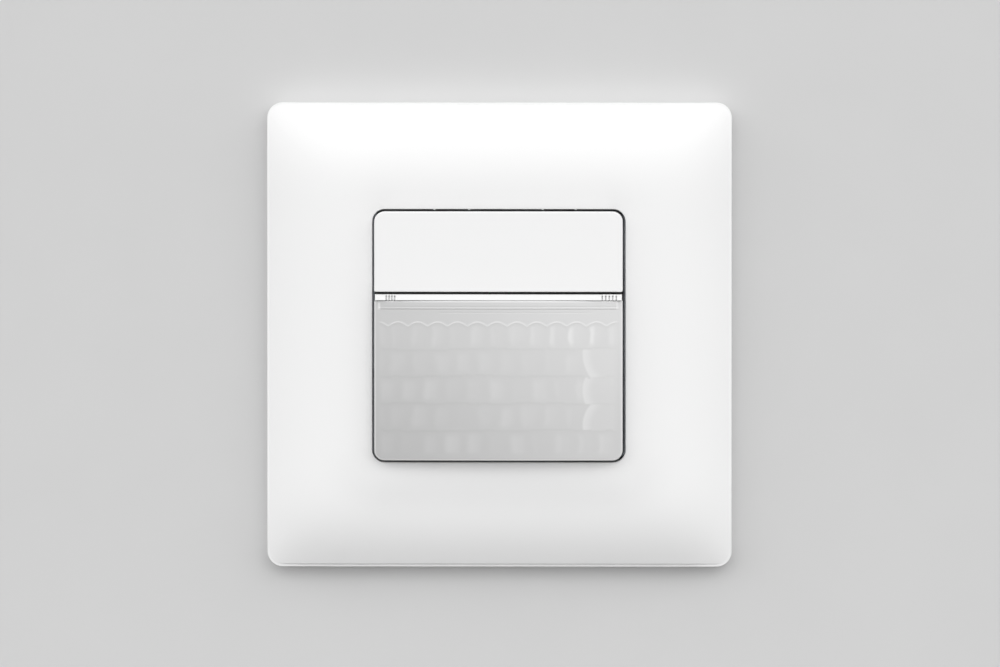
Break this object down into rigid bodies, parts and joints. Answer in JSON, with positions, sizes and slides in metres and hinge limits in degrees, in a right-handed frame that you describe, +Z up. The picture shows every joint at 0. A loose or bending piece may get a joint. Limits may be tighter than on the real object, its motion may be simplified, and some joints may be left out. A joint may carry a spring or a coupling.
{
  "type": "motion sensor light switch",
  "caption": "Square flush wall switch with a pillow-edged white plate, a push key across the top of its insert and a milky infrared sensor lens below it.",
  "frame": {"origin": "middle of the switch on the plane of the wall's face, between the box screw slots", "axes": "+X to the right seen from the front, +Y into the wall, +Z up; the lens faces -Y"},
  "size_m": [0.083, 0.0402, 0.083],
  "materials": {
    "white_plastic": "fine satin moulded",
    "milky_lens": "milky translucent",
    "light_guide": "opal",
    "dark_plastic": "moulded",
    "grey_plastic": "moulded",
    "steel": "zinc plated",
    "brass": "plain",
    "copper": "enamelled wire",
    "board": "solder mask",
    "black_part": "moulded",
    "blue_part": "moulded",
    "yellow_part": "moulded",
    "clear_case": "moulded",
    "ceramic_white": "glazed"
  },
  "bodies": {
    "mechanism": {"key_pivot_pin": "steel", "key_springs": "steel", "insert_carrier": "dark_plastic", "light_bar": "light_guide", "lens_cover": "milky_lens", "sensor_board": "board", "sensor_can": "steel", "sensor_window": "black_part", "sensor_leads": "brass", "light_sensor": "black_part", "indicator_lamp": "light_guide", "controller_chip": "black_part", "tact_switch": "black_part", "trimmer_bases": "blue_part", "header_strip": "black_part", "header_pins": "brass", "power_board": "board", "relay_case": "clear_case", "relay_coil": "copper", "relay_yoke": "steel", "film_capacitor": "yellow_part", "can_capacitor": "blue_part", "choke": "copper", "varistor": "blue_part", "fuse": "ceramic_white", "rectifier": "black_part", "rear_housing": "grey_plastic", "housing_screws": "steel", "board_screws": "steel", "support_frame": "steel", "terminal_contacts": "brass", "claw_pivot_pins": "steel"},
    "plate": {"surround_plate": "white_plastic"},
    "key": {"push_key": "white_plastic"},
    "plunger": {"tact_plunger": "grey_plastic"},
    "time_dial_body": {"time_dial": "white_plastic"},
    "lux_dial_body": {"lux_dial": "white_plastic"},
    "armature": {"relay_armature": "steel"},
    "clamp_1": {"terminal_clamp_1": "steel"},
    "clamp_screw_1": {"terminal_screw_1": "steel"},
    "clamp_2": {"terminal_clamp_2": "steel"},
    "clamp_screw_2": {"terminal_screw_2": "steel"},
    "clamp_3": {"terminal_clamp_3": "steel"},
    "clamp_screw_3": {"terminal_screw_3": "steel"},
    "clamp_4": {"terminal_clamp_4": "steel"},
    "clamp_screw_4": {"terminal_screw_4": "steel"},
    "claw_left_body": {"claw_left": "steel"},
    "nut_left_body": {"claw_nut_left": "brass"},
    "claw_screw_left_body": {"claw_screw_left": "steel"},
    "claw_right_body": {"claw_right": "steel"},
    "nut_right_body": {"claw_nut_right": "brass"},
    "claw_screw_right_body": {"claw_screw_right": "steel"}
  },
  "joints": [
    {"name": "plate_pull", "type": "slide", "parent": "mechanism", "child": "plate", "axis": [0, -1, 0], "range_m": [0, 0.016]},
    {"name": "key_press", "type": "hinge", "parent": "mechanism", "child": "key", "pos_m": [0, -0.0076, 0.019], "axis": [1, 0, 0], "range_deg": [0, 2.5], "stiffness_Nm_per_rad": 0.05, "deforming": ["key_springs"]},
    {"name": "plunger_press", "type": "slide", "parent": "mechanism", "child": "plunger", "axis": [0, 1, 0], "range_m": [0, 0.0003]},
    {"name": "time_dial_turn", "type": "hinge", "parent": "mechanism", "child": "time_dial_body", "pos_m": [-0.015, -0.006, 0.0128], "axis": [0, -1, 0], "range_deg": [-135, 135]},
    {"name": "lux_dial_turn", "type": "hinge", "parent": "mechanism", "child": "lux_dial_body", "pos_m": [0.015, -0.006, 0.0128], "axis": [0, -1, 0], "range_deg": [-135, 135]},
    {"name": "armature_rock", "type": "hinge", "parent": "mechanism", "child": "armature", "pos_m": [-0.0075, 0.0195, 0.0081], "axis": [-1, 0, 0], "range_deg": [0, 4.2], "stiffness_Nm_per_rad": 0.004},
    {"name": "terminal_screw_1_turn", "type": "hinge", "parent": "mechanism", "child": "clamp_screw_1", "pos_m": [-0.01275, 0.023, -0.0167], "axis": [0, -1, 0], "range_deg": [0, 1800]},
    {"name": "terminal_clamp_1_slide", "type": "slide", "parent": "mechanism", "child": "clamp_1", "axis": [0, 1, 0], "range_m": [0, 0.0025]},
    {"name": "terminal_screw_2_turn", "type": "hinge", "parent": "mechanism", "child": "clamp_screw_2", "pos_m": [-0.00425, 0.023, -0.0167], "axis": [0, -1, 0], "range_deg": [0, 1800]},
    {"name": "terminal_clamp_2_slide", "type": "slide", "parent": "mechanism", "child": "clamp_2", "axis": [0, 1, 0], "range_m": [0, 0.0025]},
    {"name": "terminal_screw_3_turn", "type": "hinge", "parent": "mechanism", "child": "clamp_screw_3", "pos_m": [0.00425, 0.023, -0.0167], "axis": [0, -1, 0], "range_deg": [0, 1800]},
    {"name": "terminal_clamp_3_slide", "type": "slide", "parent": "mechanism", "child": "clamp_3", "axis": [0, 1, 0], "range_m": [0, 0.0025]},
    {"name": "terminal_screw_4_turn", "type": "hinge", "parent": "mechanism", "child": "clamp_screw_4", "pos_m": [0.01275, 0.023, -0.0167], "axis": [0, -1, 0], "range_deg": [0, 1800]},
    {"name": "terminal_clamp_4_slide", "type": "slide", "parent": "mechanism", "child": "clamp_4", "axis": [0, 1, 0], "range_m": [0, 0.0025]},
    {"name": "claw_screw_left_turn", "type": "hinge", "parent": "mechanism", "child": "claw_screw_left_body", "pos_m": [-0.025, 0, 0.009], "axis": [0, 1, 0], "range_deg": [0, 864]},
    {"name": "claw_nut_left_slide", "type": "slide", "parent": "mechanism", "child": "nut_left_body", "axis": [0, -1, 0], "range_m": [0, 0.0012]},
    {"name": "claw_left_swing", "type": "hinge", "parent": "mechanism", "child": "claw_left_body", "pos_m": [-0.0225, 0.0032, 0.009], "axis": [0, 0, 1], "range_deg": [0, 26.1]},
    {"name": "claw_screw_right_turn", "type": "hinge", "parent": "mechanism", "child": "claw_screw_right_body", "pos_m": [0.025, 0, 0.009], "axis": [0, 1, 0], "range_deg": [0, 864]},
    {"name": "claw_nut_right_slide", "type": "slide", "parent": "mechanism", "child": "nut_right_body", "axis": [0, -1, 0], "range_m": [0, 0.0012]},
    {"name": "claw_right_swing", "type": "hinge", "parent": "mechanism", "child": "claw_right_body", "pos_m": [0.0225, 0.0032, 0.009], "axis": [0, 0, -1], "range_deg": [0, 26.1]}
  ],
  "couplings": [
    {"joint": "plunger_press", "follows": "key_press", "m_per_rad": 0.0062},
    {"joint": "terminal_screw_1_turn", "follows": "terminal_clamp_1_slide", "rad_per_m": 12566},
    {"joint": "terminal_screw_2_turn", "follows": "terminal_clamp_2_slide", "rad_per_m": 12566},
    {"joint": "terminal_screw_3_turn", "follows": "terminal_clamp_3_slide", "rad_per_m": 12566},
    {"joint": "terminal_screw_4_turn", "follows": "terminal_clamp_4_slide", "rad_per_m": 12566},
    {"joint": "claw_screw_left_turn", "follows": "claw_nut_left_slide", "rad_per_m": 12566},
    {"joint": "claw_left_swing", "follows": "claw_nut_left_slide", "rad_per_m": 378.6},
    {"joint": "claw_screw_right_turn", "follows": "claw_nut_right_slide", "rad_per_m": 12566},
    {"joint": "claw_right_swing", "follows": "claw_nut_right_slide", "rad_per_m": 378.6}
  ]
}
